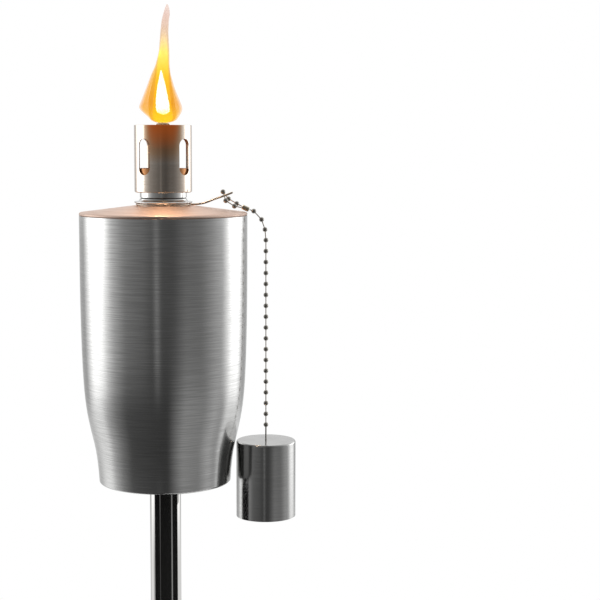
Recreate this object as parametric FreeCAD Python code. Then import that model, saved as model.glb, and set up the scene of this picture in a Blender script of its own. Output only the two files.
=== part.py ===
# Garden torch on a ground pole: fuel canister, slotted burner, wick, chained snuffer cap.
# Millimetres. +Z up, front towards -Y, wire arm and snuffer cap on the +X side.
# The origin is on the pole axis at ground level.
import os

import FreeCAD
import Part

# Pole and spike
POLE_R = 10.5              # steel tube, 21 mm outside
POLE_WALL = 1.0
POLE_FOOT_Z = 12.0         # lower end of the lowest tube, above the soil
TUBE_EDGE = 0.4            # broken edge of a cut tube
SECTION_LEN = 400.0
SPIKE_DEPTH = 200.0        # length pushed into the soil
STUD_R = 6.0               # screwed joint between sections
STUD_LEN = 24.0
PLUG_LEN = 20.0
FIT_GAP = 0.05             # between a hole and what is pressed or welded into it

# Canister, heights counted from its underside
CAN_Z = 1213.0             # underside of the canister above the soil
SHEET = 0.8
SEAM_Z = 178.9             # where the lid meets the shell
SHELL_PROFILE = [(44.1, 1.2), (44.9, 11.5), (46.5, 23.0), (48.9, 33.7), (51.2, 44.6), (52.8, 55.5),
                 (54.0, 70.5), (55.0, 97.0), (55.5, 130.0), (55.65, 178.9)]
FOOT_LIP_R = 40.5          # inner edge of the turned-in foot
PAN_H = 8.0
LID_FLAT_R = 21.0
LID_FLAT_Z = 185.2
LID_EDGE_R = 53.2
LID_EDGE_Z = 181.05
RIM_BEAD_R = 1.0
SKIRT_H = 4.0

# Filler neck and burner
NECK_HOLE_R = 14.0
NECK_BORE_R = 12.6
NECK_LOW_Z = 175.0
NECK_R = 15.5
LIP_R = 19.3
LIP_LOW_Z = 187.1
LIP_TOP_Z = 188.2
NECK_TOP_Z = 190.1
SEAL_T = 0.5
COLLAR_TOP_Z = 194.15
THREAD_R = 12.52           # 0.08 mm running clearance in the neck
THREAD_LOW_Z = 179.0
BURNER_R = 19.0
BURNER_TOP_Z = 238.3
FLOOR_HOLE_R = 8.0
SLOT_W = 9.4
SLOT_LOW_Z = 205.6
SLOT_TOP_Z = 229.4
SLOT_TURN = 3.35           # degrees
CUP_R = 17.8
CUP_TOP_Z = 209.9
CUP_WALL = 0.6
WICK_TUBE_R = 5.7
WICK_TUBE_BORE_R = 5.1
WICK_TUBE_LOW_Z = 153.0
WICK_TUBE_TOP_Z = 233.8
WICK_R = 4.75
WICK_LOW_Z = 8.0
WICK_TOP_Z = 240.1

# Tether, chain and snuffer cap
WIRE_R = 0.65
RING_R = 17.6
RING_Z = 186.15
ARM_PATH = [(17.2, 186.15), (22.0, 186.2), (27.0, 187.0), (33.5, 189.4), (38.4, 191.1), (45.5, 193.8)]
BEAD_R = 1.65
LINK_R = 0.35
LOOP_TOP = (39.5, 0.0, 194.4)
LOOP_FRONT = [(41.2, -3.0, 188.6), (47.0, -1.5, 184.9)]
LOOP_BACK = [(43.3, 3.0, 189.6), (48.7, 1.5, 186.5)]
CONNECTOR = (54.5, 0.0, 183.4)
CONNECTOR_R = 1.6
CONNECTOR_LEN = 5.0
ARCH = [(60.0, 0.0, 181.5), (65.2, 0.0, 175.9), (67.5, 0.0, 169.2)]
CHAIN_X = 68.1
PIVOT_Z = 162.1
BEAD_PITCH = 7.36
DROP_COUNT = 16            # beads between the pivot bead and the swivel bead
CAP_R = 20.1
CAP_BORE_R = 19.5
CAP_TOP_Z = 26.6
CAP_H = 52.0
CAP_HOLE_R = 0.8
CAP_EDGE_R = 1.4
PIN_R = 0.5

FLAME_PROFILE = [(0.0, 7.0), (3.5, 9.8), (9.5, 14.0), (18.5, 11.4), (32.0, 6.8), (46.0, 4.8), (62.0, 4.0)]
FLAME_H = 77.0


def vec(x, y, z):
    return FreeCAD.Vector(x, y, z)


def axis_at(x):
    return vec(x, 0, 0), vec(0, 0, 1)


def turned(points, x=0.0):
    """Solid of revolution from a closed (radius, height) outline about a vertical axis at x."""
    pts = [vec(x + r, 0, z) for r, z in points]
    face = Part.Face(Part.makePolygon(pts + [pts[0]]))
    return face.revolve(*axis_at(x), 360)


def rod(p, q, radius):
    """Straight round bar between two points."""
    step = q - p
    return Part.makeCylinder(radius, step.Length, p, step)


def tube(outer, inner, low, top):
    return turned([(inner, low), (outer, low), (outer, top), (inner, top)])


def lift(points):
    """Canister heights to heights above the soil."""
    return [(r, z + CAN_Z) for r, z in points]


def canister_point(point):
    return vec(point[0], point[1], point[2] + CAN_Z)


def pole_tube(low, top):
    bore = POLE_R - POLE_WALL
    return turned([(bore, low), (POLE_R - TUBE_EDGE, low), (POLE_R, low + TUBE_EDGE),
                   (POLE_R, top - TUBE_EDGE), (POLE_R - TUBE_EDGE, top), (bore, top)])


def pole_stud(low):
    """Plug pressed into the foot of a tube, with the screw that enters the section below."""
    bore = POLE_R - POLE_WALL
    tip = low - STUD_LEN
    return turned([(0, tip), (STUD_R - 1.0, tip), (STUD_R, tip + 1.0), (STUD_R, low),
                   (bore, low), (bore, low + PLUG_LEN), (0, low + PLUG_LEN)])


def pole_insert(top):
    """Threaded insert pressed into the head of a tube."""
    bore = POLE_R - POLE_WALL
    return turned([(STUD_R, top - STUD_LEN - 4.0), (bore, top - STUD_LEN - 4.0), (bore, top), (STUD_R, top)])


def ground_spike():
    bore = POLE_R - POLE_WALL
    return turned([(0, -SPIKE_DEPTH), (1.2, -SPIKE_DEPTH + 0.8), (5.2, -SPIKE_DEPTH + 26.0),
                   (8.6, -30.0), (POLE_R, -8.0), (POLE_R, POLE_FOOT_Z), (bore, POLE_FOOT_Z),
                   (bore, POLE_FOOT_Z + 26.0), (0, POLE_FOOT_Z + 26.0)])


def spline(points):
    curve = Part.BSplineCurve()
    curve.interpolate([vec(r, 0, z) for r, z in points])
    return curve.toShape()


def canister_shell():
    """Spun sheet: full at the top, waisted near the base, with a small turned-in foot."""
    outer = lift(SHELL_PROFILE)
    inner = [(r - SHEET, z) for r, z in outer]
    r_foot = outer[0][0]
    foot_mid = vec(r_foot - 0.35, 0, CAN_Z + 0.35)
    foot_end = vec(r_foot - 1.2, 0, CAN_Z)
    lip_low = vec(FOOT_LIP_R, 0, CAN_Z)
    lip_top = vec(FOOT_LIP_R, 0, CAN_Z + SHEET)
    heel = vec(inner[0][0], 0, CAN_Z + SHEET)
    foot = Part.Arc(vec(r_foot, 0, outer[0][1]), foot_mid, foot_end).toShape()
    mouth_in = vec(inner[-1][0], 0, inner[-1][1])
    mouth_out = vec(outer[-1][0], 0, outer[-1][1])
    edges = [spline(outer), foot, Part.makeLine(foot_end, lip_low), Part.makeLine(lip_low, lip_top),
             Part.makeLine(lip_top, heel), Part.makeLine(heel, vec(inner[0][0], 0, inner[0][1])),
             spline(inner), Part.makeLine(mouth_in, mouth_out)]
    face = Part.Face(Part.Wire(Part.__sortEdges__(edges)))
    return face.revolve(*axis_at(0), 360)


def canister_base():
    """Pressed pan that closes the bottom, standing on the shell's turned-in foot."""
    r = SHELL_PROFILE[0][0] - SHEET - 0.1
    low = SHEET
    hole = STUD_R + FIT_GAP
    return turned(lift([(hole, low), (r, low), (r, low + PAN_H), (r - SHEET, low + PAN_H),
                        (r - SHEET, low + SHEET), (hole, low + SHEET)]))


def base_stud():
    """Flanged screw welded in the pan; it enters the insert in the top of the pole."""
    top = 2.0 * SHEET
    return turned(lift([(0, -STUD_LEN), (STUD_R - 1.0, -STUD_LEN), (STUD_R, 1.0 - STUD_LEN), (STUD_R, top),
                        (15.0, top), (15.0, top + 1.4), (0, top + 1.4)]))


def canister_lid():
    """Shallow pressed cone with a rolled edge that sits on the shell."""
    rim_r = SHELL_PROFILE[-1][0] - RIM_BEAD_R
    skirt_r = SHELL_PROFILE[-1][0] - SHEET - 0.1
    cone = turned(lift([(NECK_HOLE_R, LID_FLAT_Z - SHEET), (LID_FLAT_R, LID_FLAT_Z - SHEET),
                        (LID_EDGE_R, LID_EDGE_Z - SHEET), (skirt_r - SHEET, SEAM_Z + 0.5),
                        (skirt_r - SHEET, SEAM_Z - SKIRT_H), (skirt_r, SEAM_Z - SKIRT_H),
                        (skirt_r, SEAM_Z + 0.5), (rim_r, SEAM_Z + 1.6),
                        (LID_EDGE_R, LID_EDGE_Z), (LID_FLAT_R, LID_FLAT_Z), (NECK_HOLE_R, LID_FLAT_Z)]))
    bead = Part.makeTorus(rim_r, RIM_BEAD_R, vec(0, 0, CAN_Z + SEAM_Z + RIM_BEAD_R), vec(0, 0, 1))
    return cone.fuse(bead).removeSplitter()


def filler_neck():
    """Flanged neck through the lid; its waist below the lip carries the tether ring."""
    waist_r = RING_R - WIRE_R - 0.4
    stem_r = NECK_HOLE_R - FIT_GAP
    return turned(lift([(NECK_BORE_R, NECK_LOW_Z), (stem_r, NECK_LOW_Z), (stem_r, LID_FLAT_Z),
                        (waist_r, LID_FLAT_Z), (waist_r, LIP_LOW_Z), (LIP_R - 0.5, LIP_LOW_Z),
                        (LIP_R, LIP_LOW_Z + 0.5), (LIP_R, LIP_TOP_Z - 0.4), (LIP_R - 0.4, LIP_TOP_Z),
                        (NECK_R + 1.9, LIP_TOP_Z), (NECK_R + 0.9, LIP_TOP_Z + 0.35),
                        (NECK_R + 0.25, LIP_TOP_Z + 1.0), (NECK_R, LIP_TOP_Z + 1.8),
                        (NECK_R - 0.3, NECK_TOP_Z), (NECK_BORE_R, NECK_TOP_Z)]))


def burner_seal():
    return tube(NECK_R - 0.7, NECK_BORE_R + 0.2, CAN_Z + NECK_TOP_Z, CAN_Z + NECK_TOP_Z + SEAL_T)


def burner_collar():
    """Screw collar: the skirt runs in the neck, the head carries the burner."""
    head = NECK_TOP_Z + SEAL_T
    bore = WICK_TUBE_R + FIT_GAP
    return turned(lift([(bore, THREAD_LOW_Z), (THREAD_R, THREAD_LOW_Z), (THREAD_R, head),
                        (NECK_R - 0.3, head), (NECK_R, head + 0.3), (NECK_R, COLLAR_TOP_Z),
                        (bore, COLLAR_TOP_Z)]))


def slot(angle):
    """Upright slot cutter with rounded ends, reaching out from the axis at the given angle."""
    half = SLOT_W / 2
    box = Part.makeBox(30, SLOT_W, SLOT_TOP_Z - SLOT_LOW_Z - SLOT_W,
                       vec(0, -half, CAN_Z + SLOT_LOW_Z + half))
    ends = [Part.makeCylinder(half, 30, vec(0, 0, CAN_Z + z), vec(1, 0, 0))
            for z in (SLOT_LOW_Z + half, SLOT_TOP_Z - half)]
    cutter = box.fuse(ends)
    cutter.rotate(vec(0, 0, 0), vec(0, 0, 1), angle)
    return cutter


def burner_tube():
    """Drawn wind guard with four slots; its turned-in floor lies on the collar."""
    wall = turned(lift([(FLOOR_HOLE_R, COLLAR_TOP_Z), (BURNER_R - 0.6, COLLAR_TOP_Z),
                        (BURNER_R, COLLAR_TOP_Z + 0.6),
                        (BURNER_R, BURNER_TOP_Z - 0.2), (BURNER_R - 0.2, BURNER_TOP_Z),
                        (BURNER_R - SHEET, BURNER_TOP_Z), (BURNER_R - SHEET, COLLAR_TOP_Z + SHEET),
                        (FLOOR_HOLE_R, COLLAR_TOP_Z + SHEET)]))
    return wall.cut([slot(45 + SLOT_TURN + 90 * k) for k in range(4)])


def burner_cup():
    """Drip cup around the wick tube, clamped on the floor of the wind guard."""
    low = COLLAR_TOP_Z + SHEET
    hole = WICK_TUBE_R + FIT_GAP
    return turned(lift([(hole, low), (CUP_R, low), (CUP_R, CUP_TOP_Z), (CUP_R - CUP_WALL, CUP_TOP_Z),
                        (CUP_R - CUP_WALL, low + CUP_WALL), (hole, low + CUP_WALL)]))


def wick_tube():
    """Tube that guides the wick; its flange is swaged down on the cup floor."""
    floor = COLLAR_TOP_Z + SHEET + CUP_WALL
    flange_r = WICK_TUBE_R + 2.3
    return turned(lift([(WICK_TUBE_BORE_R, WICK_TUBE_LOW_Z), (WICK_TUBE_R, WICK_TUBE_LOW_Z),
                        (WICK_TUBE_R, floor), (flange_r, floor), (flange_r, floor + SHEET),
                        (WICK_TUBE_R, floor + SHEET), (WICK_TUBE_R, WICK_TUBE_TOP_Z),
                        (WICK_TUBE_BORE_R, WICK_TUBE_TOP_Z)]))


def wick():
    return turned(lift([(0, WICK_LOW_Z), (WICK_R - 0.5, WICK_LOW_Z), (WICK_R, WICK_LOW_Z + 0.5),
                        (WICK_R, WICK_TOP_Z - 1.2), (WICK_R - 1.0, WICK_TOP_Z), (0, WICK_TOP_Z)]))


def flame():
    """Plain closed envelope of the flame, standing on the wick."""
    base = CAN_Z + WICK_TOP_Z
    pts = [(r, base + h) for h, r in FLAME_PROFILE] + [(0.0, base + FLAME_H)]
    edges = [spline(pts), Part.makeLine(vec(0, 0, base + FLAME_H), vec(0, 0, base)),
             Part.makeLine(vec(0, 0, base), vec(pts[0][0], 0, base))]
    return Part.Face(Part.Wire(Part.__sortEdges__(edges))).revolve(*axis_at(0), 360)


def tether_wire():
    """Ring that runs in the neck's waist, with the arm that carries the chain."""
    ring = Part.makeTorus(RING_R, WIRE_R, vec(0, 0, CAN_Z + RING_Z), vec(0, 0, 1))
    path = Part.Wire([spline(lift(ARM_PATH))])
    start = vec(ARM_PATH[0][0], 0, CAN_Z + ARM_PATH[0][1])
    heading = path.Edges[0].tangentAt(path.Edges[0].FirstParameter)
    circle = Part.Wire([Part.makeCircle(WIRE_R, start, heading)])
    arm = path.makePipeShell([circle], True, False)
    tip = Part.makeSphere(WIRE_R, vec(ARM_PATH[-1][0], 0, CAN_Z + ARM_PATH[-1][1]))
    return ring.fuse([arm, tip])


def bead(point):
    return Part.makeSphere(BEAD_R, point)


def link(p, q, p_gap=BEAD_R, q_gap=BEAD_R):
    """Wire between two beads, from surface to surface."""
    step = (q - p).normalize()
    return rod(p + step * p_gap, q - step * q_gap, LINK_R)


def chain_loop_points():
    top = canister_point(LOOP_TOP)
    front = [canister_point(p) for p in LOOP_FRONT]
    back = [canister_point(p) for p in LOOP_BACK]
    return top, front, back


def drop_points():
    """Pivot bead, hanging beads and swivel bead, top to bottom."""
    return [vec(CHAIN_X, 0, CAN_Z + PIVOT_Z - BEAD_PITCH * k) for k in range(DROP_COUNT + 2)]


def upper_chain_beads():
    top, front, back = chain_loop_points()
    arch = [canister_point(p) for p in ARCH]
    return Part.makeCompound([bead(p) for p in [top] + front + back + arch])


def upper_chain_links():
    top, front, back = chain_loop_points()
    joint = canister_point(CONNECTOR)
    arch = [canister_point(p) for p in ARCH]
    pairs = [(top, front[0]), (front[0], front[1]), (top, back[0]), (back[0], back[1])]
    pairs += list(zip(arch, arch[1:] + [drop_points()[0]]))
    links = [link(p, q) for p, q in pairs]
    gap = CONNECTOR_LEN / 2 + LINK_R
    links += [link(front[1], joint, q_gap=gap), link(back[1], joint, q_gap=gap),
              link(joint, arch[0], p_gap=gap)]
    return Part.makeCompound(links)


def chain_connector():
    """Clasp that closes the loop."""
    mid = canister_point(CONNECTOR)
    heading = (canister_point(ARCH[0]) - canister_point(LOOP_BACK[1])).normalize()
    body = Part.makeCylinder(CONNECTOR_R, CONNECTOR_LEN, mid - heading * (CONNECTOR_LEN / 2), heading)
    return body.makeFillet(0.7, body.Edges)


def chain_drop_beads():
    return Part.makeCompound([bead(p) for p in drop_points()[1:-1]])


def chain_drop_links():
    pts = drop_points()
    return Part.makeCompound([link(p, q) for p, q in zip(pts, pts[1:])])


def cap_swivel():
    """Last bead with the pin and stop bead that hold the cap."""
    top = drop_points()[-1]
    stop = vec(CHAIN_X, 0, CAN_Z + CAP_TOP_Z - SHEET - 0.05 - BEAD_R)
    return bead(top).fuse([rod(top, stop, PIN_R), bead(stop)])


def snuffer_cap():
    low = CAP_TOP_Z - CAP_H
    top = CAP_TOP_Z - SHEET
    cap = turned(lift([(CAP_HOLE_R, top), (CAP_BORE_R, top), (CAP_BORE_R, low), (CAP_R, low),
                       (CAP_R, CAP_TOP_Z), (CAP_HOLE_R, CAP_TOP_Z)]), CHAIN_X)
    rim = [e for e in cap.Edges if abs(e.BoundBox.ZMin - CAN_Z - CAP_TOP_Z) < 0.01
           and abs(e.BoundBox.XLength - 2 * CAP_R) < 0.01]
    return cap.makeFillet(CAP_EDGE_R, rim)


def save(name, shape):
    shape.exportStep(os.path.join("parts", name + ".step"))


def main():
    os.makedirs("parts", exist_ok=True)
    low_top = POLE_FOOT_Z + SECTION_LEN
    mid_top = low_top + SECTION_LEN
    pole_top = CAN_Z + SHEET
    save("ground_spike", ground_spike())
    save("pole_lower", pole_tube(POLE_FOOT_Z, low_top))
    save("pole_lower_insert", pole_insert(low_top))
    save("pole_middle_stud", pole_stud(low_top))
    save("pole_middle", pole_tube(low_top, mid_top))
    save("pole_middle_insert", pole_insert(mid_top))
    save("pole_upper_stud", pole_stud(mid_top))
    save("pole_upper", pole_tube(mid_top, pole_top))
    save("pole_upper_insert", pole_insert(pole_top))
    save("base_stud", base_stud())
    save("canister_base", canister_base())
    save("canister_shell", canister_shell())
    save("canister_lid", canister_lid())
    save("filler_neck", filler_neck())
    save("burner_seal", burner_seal())
    save("burner_collar", burner_collar())
    save("burner_tube", burner_tube())
    save("burner_cup", burner_cup())
    save("wick_tube", wick_tube())
    save("wick", wick())
    save("flame", flame())
    save("tether_wire", tether_wire())
    save("upper_chain_beads", upper_chain_beads())
    save("upper_chain_links", upper_chain_links())
    save("chain_connector", chain_connector())
    save("chain_pivot_bead", bead(drop_points()[0]))
    save("chain_drop_beads", chain_drop_beads())
    save("chain_drop_links", chain_drop_links())
    save("cap_swivel", cap_swivel())
    save("snuffer_cap", snuffer_cap())


if __name__ == "__main__":
    main()
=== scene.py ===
import math

import bmesh
import bpy
import numpy as np
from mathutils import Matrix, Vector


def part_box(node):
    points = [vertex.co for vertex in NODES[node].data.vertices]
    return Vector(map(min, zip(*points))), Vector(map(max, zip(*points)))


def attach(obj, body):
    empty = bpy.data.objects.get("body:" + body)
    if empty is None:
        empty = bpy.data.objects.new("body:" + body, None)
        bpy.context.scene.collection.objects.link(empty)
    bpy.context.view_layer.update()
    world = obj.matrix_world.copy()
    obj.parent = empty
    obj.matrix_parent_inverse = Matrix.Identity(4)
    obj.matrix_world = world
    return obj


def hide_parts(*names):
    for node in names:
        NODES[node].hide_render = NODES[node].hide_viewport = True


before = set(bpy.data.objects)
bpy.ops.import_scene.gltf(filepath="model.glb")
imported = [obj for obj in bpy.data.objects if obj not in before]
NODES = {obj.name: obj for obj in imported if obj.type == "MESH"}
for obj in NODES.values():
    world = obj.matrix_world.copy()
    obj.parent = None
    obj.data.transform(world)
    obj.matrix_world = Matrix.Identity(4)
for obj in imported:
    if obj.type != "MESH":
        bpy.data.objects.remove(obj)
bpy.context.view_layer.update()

bl_info = {
    "name": "Garden torch",
    "version": (1, 0, 0),
    "blender": (4, 5, 0),
    "location": "3D View > Sidebar > Torch",
    "description": "Looks of a steel garden torch with flame, wick, ball chain and snuffer cap",
    "category": "Object",
}

MM = 0.001

CAN_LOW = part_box("canister_shell")[0].z
BURNER_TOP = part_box("burner_tube")[1].z
BURNER_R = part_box("burner_tube")[1].x
WICK_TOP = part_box("wick")[1].z
FLAME_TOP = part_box("flame")[1].z
FLOOR_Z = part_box("ground_spike")[0].z

FINE_MARK_MM = 10 / 3       # handling and drawing marks on small parts
DULL_PATCH_MM = 25 / 3      # dulled patches on bare brass
CHAR_TONGUE_MM = 20 / 7     # width of the tongues in which the wick's char ends


# ---------------------------------------------------------------- colour and nodes

def linear(hex_code):
    """sRGB hex colour to linear RGBA."""
    rgb = [int(hex_code[i:i + 2], 16) / 255 for i in (1, 3, 5)]
    return [c / 12.92 if c <= 0.04045 else ((c + 0.055) / 1.055) ** 2.4 for c in rgb] + [1.0]


def add(tree, kind, settings=None, inputs=None, stops=None):
    """Adds one node: settings go on the node, inputs are values or sockets to link.

    stops are the (position, RGBA) pairs of a node that has a colour ramp.
    """
    node = tree.nodes.new(kind)
    for key, value in (settings or {}).items():
        setattr(node, key, value)
    for key, value in (inputs or {}).items():
        if isinstance(value, bpy.types.NodeSocket):
            tree.links.new(value, node.inputs[key])
        else:
            node.inputs[key].default_value = value
    if stops:
        elements = node.color_ramp.elements
        while len(elements) > 1:
            elements.remove(elements[-1])
        elements[0].position, elements[0].color = stops[0]
        for position, colour in stops[1:]:
            elements.new(position).color = colour
    return node


def new_material(name):
    mat = bpy.data.materials.new(name)
    mat.use_nodes = True
    mat.node_tree.nodes.clear()
    return mat, mat.node_tree


def finish_material(tree, shader):
    add(tree, "ShaderNodeOutputMaterial", None, {"Surface": shader.outputs[0]})


def grey(value):
    return (value, value, value, 1.0)


def brushed_steel(name, colour, dark, roughness, anisotropy, grain_mm=0.6, dash_mm=22, spread=0.05):
    """Austenitic stainless sheet, spun or rolled and then brushed round its axis with a belt.

    The brushing draws hair-thin dashes round the metal, so highlights stretch along the axis. A real
    180 grit belt leaves lines about 0.1 mm wide. Here they are grain_mm wide, so that they show.
    """
    mat, tree = new_material(name)
    place = add(tree, "ShaderNodeTexCoord").outputs["Object"]
    per_dash, per_grain = 1.0 / (dash_mm * MM), 1.0 / (grain_mm * MM)
    dashes = add(tree, "ShaderNodeMapping", None,
                 {"Vector": place, "Scale": (per_dash, per_dash, per_grain)})
    fine = add(tree, "ShaderNodeTexNoise", None,
               {"Vector": dashes.outputs[0], "Scale": 1.0, "Detail": 2.0, "Roughness": 0.5})
    tint = add(tree, "ShaderNodeValToRGB", None, {"Fac": fine.outputs["Fac"]},
               [(0.32, linear(dark)), (0.68, linear(colour))])
    rough = add(tree, "ShaderNodeMapRange", None,
                {"Value": fine.outputs["Fac"], "From Min": 0.3, "From Max": 0.7,
                 "To Min": roughness + spread, "To Max": roughness - spread})
    tangent = add(tree, "ShaderNodeTangent", {"direction_type": "RADIAL", "axis": "Z"})
    shader = add(tree, "ShaderNodeBsdfPrincipled", None,
                 {"Base Color": tint.outputs["Color"], "Metallic": 1.0, "Roughness": rough.outputs["Result"],
                  "Anisotropic": anisotropy, "Anisotropic Rotation": 0.25, "Tangent": tangent.outputs[0]})
    finish_material(tree, shader)
    return mat


def heat_tinted_steel_with_painted_glow(name):
    """Thin stainless strip, rolled, brushed round and browned where the flame has heated it.

    Heat colours grow towards the hot rim. They are strongest on the front and back pillars between the
    slots, the front one facing the camera, and fade towards the sides. Where they are strong a faint warm
    glow is added: painted flame light on the rim, not a glow of the metal. The brush dashes are drawn 9 mm
    long and 0.45 mm wide, coarser than real ones, so that they show.
    """
    mat, tree = new_material(name)
    place = add(tree, "ShaderNodeTexCoord").outputs["Object"]
    split = add(tree, "ShaderNodeSeparateXYZ", None, {"Vector": place})
    per_dash, per_grain = 1 / (9 * MM), 1 / (0.45 * MM)
    dashes = add(tree, "ShaderNodeMapping", None,
                 {"Vector": place, "Scale": (per_dash, per_dash, per_grain)})
    fine = add(tree, "ShaderNodeTexNoise", None,
               {"Vector": dashes.outputs[0], "Scale": 1.0, "Detail": 2.0})
    square = add(tree, "ShaderNodeMath", {"operation": "POWER"}, {0: split.outputs["Y"], 1: 2.0})
    pillar = add(tree, "ShaderNodeMapRange", {"interpolation_type": "SMOOTHSTEP"},
                 {"Value": square.outputs[0],
                  "From Min": 0.45 * BURNER_R ** 2, "From Max": 0.95 * BURNER_R ** 2})
    rise = add(tree, "ShaderNodeMapRange", None,
               {"Value": split.outputs["Z"],
                "From Min": BURNER_TOP - 26 * MM, "From Max": BURNER_TOP - 1 * MM})
    heat_tint_and_painted_glow = add(tree, "ShaderNodeMath", {"operation": "MULTIPLY"},
               {0: pillar.outputs["Result"], 1: rise.outputs["Result"]})
    uneven = add(tree, "ShaderNodeMath", {"operation": "MULTIPLY_ADD"},
                 {0: fine.outputs["Fac"], 1: 0.12, 2: heat_tint_and_painted_glow.outputs[0]})
    tint = add(tree, "ShaderNodeValToRGB", None, {"Fac": uneven.outputs[0]},
               [(0.03, linear("#c4b6a9")), (0.09, linear("#d4c8bc")), (0.35, linear("#c8a88a")),
                (0.70, linear("#b98058")), (1.0, linear("#9c5a30"))])
    # Painted flame light: a faint warm glow where the browning is strong, standing in for the flame's light
    # on the rim.
    glow = add(tree, "ShaderNodeValToRGB", None, {"Fac": uneven.outputs[0]},
               [(0.10, grey(0.0)), (0.45, (0.026, 0.010, 0.003, 1)), (1.0, (0.20, 0.042, 0.007, 1))])
    rough = add(tree, "ShaderNodeMapRange", None,
                {"Value": fine.outputs["Fac"], "To Min": 0.20, "To Max": 0.12})
    tangent = add(tree, "ShaderNodeTangent", {"direction_type": "RADIAL", "axis": "Z"})
    shader = add(tree, "ShaderNodeBsdfPrincipled", None,
                 {"Base Color": tint.outputs["Color"], "Metallic": 1.0, "Roughness": rough.outputs["Result"],
                  "Anisotropic": 0.5, "Anisotropic Rotation": 0.25, "Tangent": tangent.outputs[0],
                  "Emission Color": glow.outputs["Color"], "Emission Strength": 1.0})
    finish_material(tree, shader)
    return mat


def polished_metal(name, colour, roughness, smear=0.03, mark_mm=25.0):
    """Metal buffed, plated or drawn smooth, with faint marks mark_mm across that dull it unevenly."""
    mat, tree = new_material(name)
    place = add(tree, "ShaderNodeTexCoord").outputs["Object"]
    marks = add(tree, "ShaderNodeTexNoise", None,
                {"Vector": place, "Scale": 1.0 / (mark_mm * MM), "Detail": 4.0})
    rough = add(tree, "ShaderNodeMapRange", None,
                {"Value": marks.outputs["Fac"], "From Min": 0.35, "From Max": 0.75,
                 "To Min": roughness, "To Max": roughness + smear})
    shader = add(tree, "ShaderNodeBsdfPrincipled", None,
                 {"Base Color": linear(colour), "Metallic": 1.0, "Roughness": rough.outputs["Result"]})
    finish_material(tree, shader)
    return mat


def powder_coat(name, colour):
    """Polyester powder coat on steel: even, with a fine orange-peel ripple about 1 mm across.

    Patches of dried soil about 22 mm across dull its black.
    """
    mat, tree = new_material(name)
    place = add(tree, "ShaderNodeTexCoord").outputs["Object"]
    peel = add(tree, "ShaderNodeTexNoise", None, {"Vector": place, "Scale": 1.0 / MM, "Detail": 1.0})
    soil = add(tree, "ShaderNodeTexNoise", None,
               {"Vector": place, "Scale": 1.0 / (22.2 * MM), "Detail": 4.0})
    tint = add(tree, "ShaderNodeValToRGB", None, {"Fac": soil.outputs["Fac"]},
               [(0.45, linear(colour)), (0.72, linear("#4a4540"))])
    relief = add(tree, "ShaderNodeBump", None,
                 {"Height": peel.outputs["Fac"], "Strength": 0.25, "Distance": 0.05 * MM})
    shader = add(tree, "ShaderNodeBsdfPrincipled", None,
                 {"Base Color": tint.outputs["Color"], "Roughness": 0.42, "Normal": relief.outputs[0]})
    finish_material(tree, shader)
    return mat


def seal_rubber(name):
    """Nitrile rubber, moulded: near black and matt with a faint bloom in spots 2.5 mm across."""
    mat, tree = new_material(name)
    place = add(tree, "ShaderNodeTexCoord").outputs["Object"]
    bloom = add(tree, "ShaderNodeTexNoise", None,
                {"Vector": place, "Scale": 1.0 / (2.5 * MM), "Detail": 3.0})
    tint = add(tree, "ShaderNodeValToRGB", None, {"Fac": bloom.outputs["Fac"]},
               [(0.3, linear("#141413")), (0.8, linear("#262423"))])
    shader = add(tree, "ShaderNodeBsdfPrincipled", None,
                 {"Base Color": tint.outputs["Color"], "Roughness": 0.7})
    finish_material(tree, shader)
    return mat


def wick_braid(name):
    """Braided glass-fibre cord, woven: off-white strands, charred black where it burns.

    The strands' humps follow the cells of the braid's own UV map, 1.9 mm wide and 3 mm tall. The char ends
    raggedly, in tongues about 3 mm wide.
    """
    mat, tree = new_material(name)
    uv = add(tree, "ShaderNodeUVMap", {"uv_map": "braid"}).outputs[0]
    place = add(tree, "ShaderNodeTexCoord").outputs["Object"]
    split = add(tree, "ShaderNodeSeparateXYZ", None, {"Vector": place})
    char_noise = add(tree, "ShaderNodeTexNoise", None,
                     {"Vector": place, "Scale": 1.0 / (CHAR_TONGUE_MM * MM), "Detail": 3.0})
    level = add(tree, "ShaderNodeMapRange", None,
                {"Value": split.outputs["Z"], "From Min": WICK_TOP - 9 * MM, "From Max": WICK_TOP - 1 * MM,
                 "To Min": 0.0, "To Max": 1.1})
    burnt = add(tree, "ShaderNodeMath", {"operation": "MULTIPLY_ADD"},
                {0: char_noise.outputs["Fac"], 1: 0.3, 2: level.outputs["Result"]})
    tint = add(tree, "ShaderNodeValToRGB", None, {"Fac": burnt.outputs[0]},
               [(0.15, linear("#cfc6b2")), (0.42, linear("#7d6144")), (0.62, linear("#2a1e16")),
                (0.95, linear("#0d0b0a"))])
    strands = add(tree, "ShaderNodeTexVoronoi", {"feature": "F1"}, {"Vector": uv, "Scale": 1.0})
    relief = add(tree, "ShaderNodeBump", {"invert": True},
                 {"Height": strands.outputs["Distance"], "Strength": 0.6, "Distance": 0.3 * MM})
    shader = add(tree, "ShaderNodeBsdfPrincipled", None,
                 {"Base Color": tint.outputs["Color"], "Roughness": 0.9, "Normal": relief.outputs[0],
                  "Sheen Weight": 0.2})
    finish_material(tree, shader)
    return mat


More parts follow.
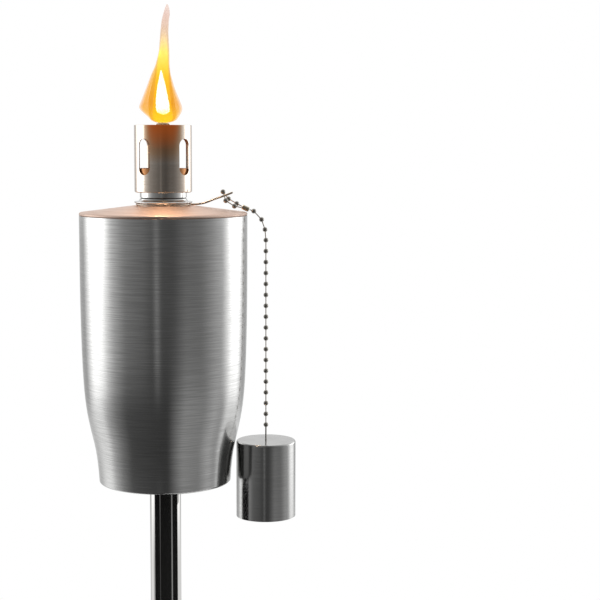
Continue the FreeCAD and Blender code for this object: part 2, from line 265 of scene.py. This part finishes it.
def burning_gas(name, colours, gain, cover, fade):
    """Burning lamp-oil vapour: glowing soot that hides what is behind it by its cover.

    colours are (height in mm above the wick, hex) from the base up, and gain multiplies their light. The
    cover goes smoothly from its first value below fade[0] to its second above fade[1], heights in mm.
    """
    mat, tree = new_material(name)
    place = add(tree, "ShaderNodeTexCoord").outputs["Object"]
    split = add(tree, "ShaderNodeSeparateXYZ", None, {"Vector": place})
    height = add(tree, "ShaderNodeMapRange", None,
                 {"Value": split.outputs["Z"], "From Min": WICK_TOP, "From Max": FLAME_TOP})
    span = (FLAME_TOP - WICK_TOP) / MM
    colour = add(tree, "ShaderNodeValToRGB", None, {"Fac": height.outputs["Result"]},
                 [(mm / span, linear(code)) for mm, code in colours])
    veil = add(tree, "ShaderNodeMapRange", {"interpolation_type": "SMOOTHSTEP"},
               {"Value": height.outputs["Result"], "From Min": fade[0] / span, "From Max": fade[1] / span,
                "To Min": cover[0], "To Max": cover[1]})
    glow = add(tree, "ShaderNodeEmission", None,
               {"Color": colour.outputs["Color"], "Strength": gain * finish_settings().flame_strength})
    clear = add(tree, "ShaderNodeBsdfTransparent")
    shader = add(tree, "ShaderNodeMixShader", None,
                 {0: veil.outputs["Result"], 1: clear.outputs[0], 2: glow.outputs[0]})
    finish_material(tree, shader)
    return mat


# ---------------------------------------------------------------- surfaces

def grid_mesh(name, points, uv=None):
    """Mesh from an array of shape (rows, columns, 3) whose columns close on themselves.

    Faces join each point to its neighbour along the row and to the same two points of the next row.
    uv is the layer's name and how often its pattern repeats round and along.
    """
    rows, cols = points.shape[:2]
    ri, ci = np.meshgrid(np.arange(rows - 1), np.arange(cols), indexing="ij")
    nxt = (ci + 1) % cols
    quads = np.stack([ri * cols + ci, ri * cols + nxt, (ri + 1) * cols + nxt, (ri + 1) * cols + ci], axis=-1)
    mesh = bpy.data.meshes.new(name)
    mesh.from_pydata(points.reshape(-1, 3), [], quads.reshape(-1, 4))
    if uv is not None:
        layer = mesh.uv_layers.new(name=uv[0])
        u = np.stack([ci, ci + 1, ci + 1, ci], axis=-1).reshape(-1) / cols * uv[1]
        v = np.stack([ri, ri, ri + 1, ri + 1], axis=-1).reshape(-1) / rows * uv[2]
        layer.data.foreach_set("uv", np.stack([u, v], axis=-1).reshape(-1))
    mesh.polygons.foreach_set("use_smooth", np.ones(len(mesh.polygons), bool))
    return mesh


def capped(points):
    """Rows of a grid with both ends drawn in to a single small point, so that the surface is closed."""
    first = np.repeat(points[:1].mean(axis=1, keepdims=True), points.shape[1], axis=1)
    last = np.repeat(points[-1:].mean(axis=1, keepdims=True), points.shape[1], axis=1)
    return np.concatenate([first, points, last])


def place_object(name, mesh, material, body, nodes=()):
    obj = bpy.data.objects.new(name, mesh)
    bpy.context.scene.collection.objects.link(obj)
    mesh.materials.append(material)
    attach(obj, body)
    if nodes:
        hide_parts(*nodes)
    return obj


def weld(mesh):
    """Merges doubled points and turns every face outwards."""
    bm = bmesh.new()
    bm.from_mesh(mesh)
    bmesh.ops.remove_doubles(bm, verts=bm.verts, dist=1e-6)
    bmesh.ops.recalc_face_normals(bm, faces=bm.faces)
    bm.to_mesh(mesh)
    bm.free()


def dress(node, material):
    """Gives a CAD node its finished material."""
    obj = NODES[node]
    obj.data.materials.clear()
    obj.data.materials.append(material)


def smooth_curve(at, knots, values, width):
    """Straight-line curve through the knots, averaged with a bell of the given width."""
    step = np.linspace(-2.5, 2.5, 41)
    bell = np.exp(-step ** 2)
    nearby = np.interp(at[:, None] + step * width, knots, values)
    return (nearby * bell).sum(axis=1) / bell.sum()


def flame_surface(name, outline, share=1.0):
    """Closed flame surface from its left and right outline.

    At each height the ring is an ellipse from the left to the right outline, a little less deep than it is
    wide, with three shallow folds that wind up the flame. Both ends are rounded off like a ball. outline
    holds (height, left, right) in mm from the wick's centre, and share scales the rings about their middle.
    """
    heights, left, right = np.array(outline).T
    rows = 0.5 - 0.5 * np.cos(np.linspace(0, np.pi, FLAME_ROWS))        # crowded towards both ends
    at = heights[0] + (heights[-1] - heights[0]) * rows
    a = smooth_curve(at, heights, left, FLAME_SOFT_MM)
    b = smooth_curve(at, heights, right, FLAME_SOFT_MM)
    end = np.clip(np.minimum(at - at[0], at[-1] - at) / FLAME_END_MM, 0, 1)
    radius = (b - a) / 2 * share * np.sqrt(1 - (1 - end) ** 2)
    turn = np.linspace(0, 2 * np.pi, FLAME_COLUMNS, endpoint=False)
    folds = 1 + FOLD_SHARE * np.cos(3 * turn[None, :] + at[:, None] / FOLD_PITCH_MM)
    x = (a + b)[:, None] / 2 + radius[:, None] * folds * np.cos(turn)
    y = radius[:, None] * folds * np.sin(turn) * FLAME_DEPTH
    z = WICK_TOP / MM + at[:, None] + 0 * x
    mesh = grid_mesh(name, capped(np.stack([x, y, z], axis=-1) * MM))
    weld(mesh)
    return mesh


# ---------------------------------------------------------------- settings

class TorchFinish(bpy.types.PropertyGroup):
    steel_roughness: bpy.props.FloatProperty(
        name="Steel roughness", description="Roughness of the brushed canister",
        default=0.20, min=0.02, max=0.8)
    brush_mm: bpy.props.FloatProperty(
        name="Brush spacing", description="Distance between brush lines in millimetres",
        default=0.45, min=0.05)
    flame_strength: bpy.props.FloatProperty(
        name="Flame strength", description="Brightness of the burning gas", default=1.0, min=0.0)
    flame_light: bpy.props.FloatProperty(
        name="Flame light", description="Power of the light that the flame throws on the lid and burner",
        default=0.21, min=0.0, subtype="POWER")
    eye_height: bpy.props.FloatProperty(
        name="Camera height", description="Height of the camera above the canister's underside",
        default=0.22685, unit="LENGTH")
    eye_distance: bpy.props.FloatProperty(
        name="Camera distance", description="Distance from the pole axis to the camera",
        default=1.0, unit="LENGTH")


def finish_settings():
    return bpy.context.scene.torch_finish


# ---------------------------------------------------------------- studio

CAMERA_PITCH, CAMERA_ROLL, CAMERA_YAW = -5.98, -0.14, -5.19     # degrees from a level view along +Y
LENS_MM, SENSOR_MM = 90.0, 36.0
FLOOR_RADIUS = 2.5              # metres
FLOOR_SIDES = 96

FLAG_RADIUS = 30 * MM
FLAG_TOP = CAN_LOW - 8 * MM
FLAG_BEARINGS = ((-74, -37), (-32, 35), (43, 82))               # degrees from the camera, towards +X
FLAG_POINTS = 24

LAMP_RADIUS = 6 * MM
LAMP_HEIGHT = WICK_TOP + 22 * MM

# Tiers of the studio from the lowest up: sines of the elevations between which a tier takes over from the
# one below, and its panels as (bearing in degrees from the camera, towards +X; light). PEAK_LIGHT is the
# brightest panel's.
PEAK_LIGHT = 3.2
STUDIO_TIERS = (
    (-1.0, -1.0, [(-180, 1.0), (-150, .66), (-124, 1.05), (-108, 1.05), (-96, .5), (-78, .22), (-60, .08),
                  (5, .05), (30, .37), (60, .3), (80, .55), (95, .36), (106, 1.0), (122, .9), (150, .9),
                  (180, 1.0)]),
    (-.28, -.20, [(-180, .9), (-158, .5), (-140, .45), (-128, 1.1), (-116, 2.0), (-96, 2.0), (-86, 1.1),
                  (-72, .57), (-54, .25), (-28, .17), (-15, .08), (-10, .42), (-5, .09), (14, .09),
                  (30, .2), (52, .18), (74, .42), (86, .5), (98, 1.2), (108, 2.0), (124, 2.0), (138, .62),
                  (152, .42), (180, .9)]),
    (-.055, -.03, [(-180, .8), (-150, .7), (-138, .9), (-122, 3.2), (-88, 3.2), (-78, 1.0), (-60, .5),
                   (-40, .3), (-15, .19), (10, .10), (40, .16), (70, .44), (92, 1.1), (104, 3.2), (132, 3.2),
                   (144, .9), (160, .7), (180, .8)]),
    (.18, .34, [(-180, 1.15), (-100, 1.0), (-60, .4), (0, .12), (60, .4), (100, 1.0), (180, 1.15)]),
)


# ---------------------------------------------------------------- flame and wick

FLAME_ROWS, FLAME_COLUMNS = 90, 72
FLAME_SOFT_MM = 1.6         # width of the bell that smooths the outlines
FLAME_END_MM = 2.5          # height over which each end is rounded off
FLAME_DEPTH = 0.9           # depth of a ring as a share of its width
FOLD_SHARE = 0.03           # depth of the folds as a share of the radius
FOLD_PITCH_MM = 9.0         # rise over which the wave of the folds shifts by one radian

# Outlines of the flame's layers, from the base up: (height, left, right) in mm from the wick's top centre.
FLAME_OUTER = ((-.6, -7, 7), (3, -9.2, 9.9), (6.4, -13.4, 12), (9.4, -16.2, 12.8), (13.6, -14.2, 11.4),
               (22.8, -10.4, 8), (32, -7, 5.4), (37, -4.7, 4.7), (46, -2.4, 4.6), (58, -1.5, 4),
               (66, -.6, 4.4), (71, .7, 5.3), (77, 2.6, 4.2))
FLAME_AMBER = ((.1, -7.4, 7.4), (6, -9.5, 9), (12, -9.6, 8), (22, -7.6, 6.4), (30, -5.4, 5.2),
               (40, -3.2, 4.2), (50, -1.6, 4))
FLAME_BODY = ((-.1, -6, 6), (4, -6.8, 6.4), (10, -6.6, 5.6), (22, -5.1, 4.5), (32, -3.7, 4),
              (42, -2.9, 3.6), (50, -1.3, 3.2), (58, -.6, 2.6), (64, .2, 2.6))
FLAME_CORE = ((5.2, -3.2, 4.2), (8, -4.5, 4.6), (14, -4.5, 3.8), (24, -3.3, 2.0), (30, -2.0, .4),
              (34, -1.3, -.6))

# Colours of the layers by height in mm above the wick.
SKIN_GLOW = ((3, "#ffbf2c"), (12, "#fcae28"), (30, "#fbb934"), (45, "#f4cf6c"), (58, "#e5b98c"),
             (70, "#e2ad93"), (77, "#efcfc0"))
AMBER_GLOW = ((3, "#f8a818"), (12, "#cc7618"), (24, "#dc8c1c"), (36, "#ecb92e"))
BODY_GLOW = ((2, "#f0ee2c"), (9, "#fdd416"), (26, "#fcd818"), (34, "#fbdc1c"), (46, "#f6dc50"),
             (56, "#efd898"))
CORE_GLOW = ((4, "#f6f24a"), (7, "#fffbd2"), (10, "#ffffff"))

# Layers from the outside in: name, outline, share, colours, gain, cover, and heights in mm of its change.
FLAME_LAYERS = (
    ("flame_skin_outer", FLAME_OUTER, 1.0, SKIN_GLOW, 1.0, (.26, .10), (40, 74)),
    ("flame_skin_middle", FLAME_OUTER, .93, SKIN_GLOW, 1.0, (.30, .16), (40, 74)),
    ("flame_skin_inner", FLAME_OUTER, .85, SKIN_GLOW, 1.0, (.36, .20), (38, 72)),
    ("flame_amber", FLAME_AMBER, 1.0, AMBER_GLOW, 1.0, (.58, .0), (26, 48)),
    ("flame_body", FLAME_BODY, 1.0, BODY_GLOW, 2.4, (.55, .0), (42, 63)),
    ("flame_core", FLAME_CORE, 1.0, CORE_GLOW, 17.0, (1.0, .7), (20, 33)),
)

WICK_ROWS, WICK_COLUMNS = 220, 48
STRANDS = 8                 # strands that wind each way
WIND_RISE = 12 * MM         # rise over which the strands' wave shifts by one period
WEAVE_RELIEF = 0.10 * MM    # half the depth of the hollows between crossings
CELL_RISE = 3.05 * MM       # height of a cell of the braid's UV map
CROWN_RISE = 1.4 * MM       # height of the rounded, burnt-back top
CROWN_SHARE = 0.55          # radius at the very top as a share of the wick's


# ---------------------------------------------------------------- operators

class TORCH_OT_stage(bpy.types.Operator):
    """Camera, floor, lights and the studio round the torch"""
    bl_idname = "torch.stage"
    bl_label = "Stage"

    def execute(self, context):
        opts = finish_settings()
        scene = context.scene
        scene.view_settings.view_transform = "Standard"
        cam = bpy.data.objects.new("camera", bpy.data.cameras.new("camera"))
        scene.collection.objects.link(cam)
        scene.camera = cam
        cam.data.sensor_width = SENSOR_MM
        cam.data.lens = LENS_MM
        cam.data.clip_start = 0.05
        cam.location = (0, -opts.eye_distance, CAN_LOW + opts.eye_height)
        pitch, roll, yaw = (math.radians(angle) for angle in (CAMERA_PITCH, CAMERA_ROLL, CAMERA_YAW))
        cam.rotation_euler = (math.pi / 2 + pitch, roll, yaw)
        self.studio(scene)
        self.floor(scene)
        self.flags(scene)
        self.flame_light(scene, opts.flame_light)
        return {"FINISHED"}

    def studio(self, scene):
        """Environment in tiers of panels: charcoal behind the camera, white panels at each side."""
        world = bpy.data.worlds.new("studio")
        scene.world = world
        world.use_nodes = True
        tree = world.node_tree
        tree.nodes.clear()
        way = add(tree, "ShaderNodeTexCoord").outputs["Generated"]
        split = add(tree, "ShaderNodeSeparateXYZ", None, {"Vector": way})
        back = add(tree, "ShaderNodeMath", {"operation": "MULTIPLY"}, {0: split.outputs["Y"], 1: -1.0})
        compass = add(tree, "ShaderNodeMath", {"operation": "ARCTAN2"},
                      {0: split.outputs["X"], 1: back.outputs[0]})
        turn = add(tree, "ShaderNodeMapRange", None,
                   {"Value": compass.outputs[0], "From Min": -math.pi, "From Max": math.pi})
        view = None
        for low, high, panels in STUDIO_TIERS:
            stops = [((bearing + 180) / 360, grey(light / PEAK_LIGHT)) for bearing, light in panels]
            tier = add(tree, "ShaderNodeValToRGB", None, {"Fac": turn.outputs["Result"]}, stops)
            if view is None:
                view = tier.outputs["Color"]
                continue
            blend = add(tree, "ShaderNodeMapRange", {"interpolation_type": "SMOOTHSTEP"},
                        {"Value": split.outputs["Z"], "From Min": low, "From Max": high})
            mix = add(tree, "ShaderNodeMix", {"data_type": "RGBA"}, {"Factor": blend.outputs["Result"]})
            tree.links.new(view, mix.inputs["A"])
            tree.links.new(tier.outputs["Color"], mix.inputs["B"])
            view = mix.outputs["Result"]
        seen = add(tree, "ShaderNodeLightPath").outputs["Is Camera Ray"]
        surround = add(tree, "ShaderNodeBackground", None, {"Color": view, "Strength": PEAK_LIGHT})
        white = add(tree, "ShaderNodeBackground", None, {"Color": (1, 1, 1, 1), "Strength": 1.0})
        shown = add(tree, "ShaderNodeMixShader", None,
                    {0: seen, 1: surround.outputs[0], 2: white.outputs[0]})
        add(tree, "ShaderNodeOutputWorld", None, {"Surface": shown.outputs[0]})

    def floor(self, scene):
        """Pale matt floor: a flat disc, left out of reflections so that the studio's panels stay whole."""
        mat, tree = new_material("pale_floor")
        shader = add(tree, "ShaderNodeBsdfPrincipled", None,
                     {"Base Color": linear("#f2f1ef"), "Roughness": 0.8, "Specular IOR Level": 0.1})
        finish_material(tree, shader)
        turn = np.linspace(0, 2 * np.pi, FLOOR_SIDES, endpoint=False)
        height = np.full(FLOOR_SIDES, FLOOR_Z - 0.5 * MM)       # clear of the spike's tip
        rim = np.stack([FLOOR_RADIUS * np.cos(turn), FLOOR_RADIUS * np.sin(turn), height], axis=-1)
        mesh = bpy.data.meshes.new("floor")
        mesh.from_pydata(rim, [], [list(range(FLOOR_SIDES))])
        mesh.materials.append(mat)
        floor = bpy.data.objects.new("floor", mesh)
        scene.collection.objects.link(floor)
        floor.visible_glossy = False

    def flags(self, scene):
        """Black cards in front of the pole, seen only in its polish: upright bands of a cylinder."""
        mat, tree = new_material("black_card")
        finish_material(tree, add(tree, "ShaderNodeBsdfDiffuse", None, {"Color": grey(0.02)}))
        for number, (start, end) in enumerate(FLAG_BEARINGS):
            turn = np.radians(np.linspace(start, end, FLAG_POINTS))
            rim = np.stack([np.sin(turn), -np.cos(turn)], axis=-1) * FLAG_RADIUS
            points = np.concatenate([np.column_stack([rim, np.full(FLAG_POINTS, z)])
                                     for z in (FLOOR_Z, FLAG_TOP)])
            low = np.arange(FLAG_POINTS - 1)
            high = low + FLAG_POINTS
            mesh = bpy.data.meshes.new("flag_%d" % (number + 1))
            mesh.from_pydata(points, [], np.column_stack([low, low + 1, high + 1, high]))
            mesh.materials.append(mat)
            card = bpy.data.objects.new(mesh.name, mesh)
            scene.collection.objects.link(card)
            card.visible_camera = card.visible_diffuse = card.visible_shadow = False

    def flame_light(self, scene, power):
        """Warm light of the flame, from a small ball in its lower third.

        The real flame is three quarters as wide as the burner and lights the lid past the burner's rim. The
        ball is far smaller, so it casts no shadow instead.
        """
        light = bpy.data.lights.new("flame_light", "POINT")
        light.color = linear("#ffd7b0")[:3]
        light.energy = power
        light.shadow_soft_size = LAMP_RADIUS
        light.use_shadow = False
        lamp = bpy.data.objects.new("flame_light", light)
        lamp.location = (0, 0, LAMP_HEIGHT)
        scene.collection.objects.link(lamp)


class TORCH_OT_metal(bpy.types.Operator):
    """Finishes for every metal part that keeps its own shape"""
    bl_idname = "torch.metal"
    bl_label = "Metal finishes"

    def execute(self, context):
        opts = finish_settings()
        sheet = brushed_steel("brushed_stainless", "#d1d1d0", "#b9b9b8", opts.steel_roughness, 0.6,
                              opts.brush_mm, 20, 0.022)
        # The lid's pink-beige colours are painted light: the flame's warm light on the lid, painted into
        # stainless that is grey like the shell's.
        lid = brushed_steel("satin_stainless_painted_flame_light", "#cfb7a8", "#c4ab9d", 0.46, 0.2, 0.5, 30)
        cap = brushed_steel("brushed_cap_steel", "#bdbdbc", "#afafae", 0.2, 0.6, opts.brush_mm, 14, 0.03)
        tube = heat_tinted_steel_with_painted_glow("heat_tinted_stainless_with_painted_glow")
        # The cup is pressed from stainless strip and browned by the fire, which dulls it unevenly.
        scaled = polished_metal("fire_scaled_stainless", "#a0704a", 0.25, 0.12, FINE_MARK_MM)
        turned = polished_metal("turned_stainless", "#c6c5c3", 0.12)
        pole = polished_metal("polished_stainless", "#d2d1cf", 0.045, 0.03)
        nickel = polished_metal("nickel_plate", "#9d9992", 0.06, 0.05, FINE_MARK_MM)
        wire = polished_metal("drawn_steel_wire", "#b9afa2", 0.25, 0.1, FINE_MARK_MM)
        brass = polished_metal("drawn_brass", "#c7a25a", 0.22, 0.12, DULL_PATCH_MM)
        clasp = polished_metal("worn_nickel_on_brass", "#b5ac98", 0.2, 0.15, FINE_MARK_MM)
        coat = powder_coat("black_powder_coat", "#1d1d1e")
        rubber = seal_rubber("moulded_nitrile")
        finishes = {
            "canister_shell": sheet, "canister_base": sheet, "canister_lid": lid, "filler_neck": turned,
            "burner_collar": turned, "burner_tube": tube, "burner_cup": scaled, "wick_tube": brass,
            "burner_seal": rubber, "snuffer_cap": cap, "tether_wire": wire, "chain_connector": clasp,
            "upper_chain_beads": nickel, "upper_chain_links": wire, "chain_pivot_bead": nickel,
            "chain_drop_beads": nickel, "chain_drop_links": wire, "cap_swivel": nickel,
            "pole_lower": pole, "pole_middle": pole, "pole_upper": pole, "ground_spike": coat,
            "pole_lower_insert": brass, "pole_middle_stud": brass, "pole_middle_insert": brass,
            "pole_upper_stud": brass, "pole_upper_insert": brass, "base_stud": brass,
        }
        for node, material in finishes.items():
            dress(node, material)
        return {"FINISHED"}


class TORCH_OT_wick(bpy.types.Operator):
    """Braided wick with a charred, slightly ragged top"""
    bl_idname = "torch.wick"
    bl_label = "Wick"

    def execute(self, context):
        lo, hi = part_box("wick")
        radius = (hi.x - lo.x) / 2
        rows = np.linspace(0, 1, WICK_ROWS)[:, None]
        turn = np.linspace(0, 2 * np.pi, WICK_COLUMNS, endpoint=False)[None, :]
        z = lo.z + (hi.z - lo.z) * rows
        # Two sets of strands wind opposite ways: the surface is highest where their waves peak or dip
        # together, as crossing strands do.
        wind = z / WIND_RISE * 2 * np.pi
        weave = WEAVE_RELIEF * (np.sin(STRANDS * turn + wind) * np.sin(STRANDS * turn - wind) - 1)
        crown = np.clip((hi.z - z) / CROWN_RISE, 0, 1) ** 0.5
        r = (radius + weave) * (CROWN_SHARE + (1 - CROWN_SHARE) * crown)
        points = np.stack([r * np.cos(turn), r * np.sin(turn), z + 0 * turn], axis=-1)
        cells_along = round((hi.z - lo.z) / CELL_RISE)
        mesh = grid_mesh("wick_cord", capped(points), uv=("braid", 2 * STRANDS, cells_along))
        weld(mesh)
        place_object("wick_cord", mesh, wick_braid("glass_fibre_braid"), "wick", ["wick"])
        return {"FINISHED"}


class TORCH_OT_flame(bpy.types.Operator):
    """Flame: thin glowing skins round a white-hot core"""
    bl_idname = "torch.flame"
    bl_label = "Flame"

    def execute(self, context):
        context.scene.cycles.transparent_max_bounces = 48
        stands_for = ["flame"]          # the first layer replaces the CAD node, the others only join it
        for name, outline, share, colours, gain, cover, fade in FLAME_LAYERS:
            mesh = flame_surface(name, outline, share)
            mat = burning_gas(name + "_gas", colours, gain, cover, fade)
            piece = place_object(name, mesh, mat, "wick", stands_for)
            piece.visible_shadow = False
            stands_for = ()
        return {"FINISHED"}


class TORCH_PT_panel(bpy.types.Panel):
    bl_label = "Garden torch"
    bl_idname = "TORCH_PT_panel"
    bl_space_type = "VIEW_3D"
    bl_region_type = "UI"
    bl_category = "Torch"

    def draw(self, context):
        for prop in ("steel_roughness", "brush_mm", "flame_strength", "flame_light",
                     "eye_height", "eye_distance"):
            self.layout.prop(context.scene.torch_finish, prop)
        for operator in OPERATORS:
            self.layout.operator(operator.bl_idname)


OPERATORS = (TORCH_OT_stage, TORCH_OT_metal, TORCH_OT_wick, TORCH_OT_flame)
CLASSES = (TorchFinish,) + OPERATORS + (TORCH_PT_panel,)


def register():
    for cls in CLASSES:
        bpy.utils.register_class(cls)
    bpy.types.Scene.torch_finish = bpy.props.PointerProperty(type=TorchFinish)


def unregister():
    del bpy.types.Scene.torch_finish
    for cls in reversed(CLASSES):
        bpy.utils.unregister_class(cls)


def main():
    register()
    bpy.ops.torch.stage()
    bpy.ops.torch.metal()
    bpy.ops.torch.wick()
    bpy.ops.torch.flame()


if __name__ == "__main__":
    main()
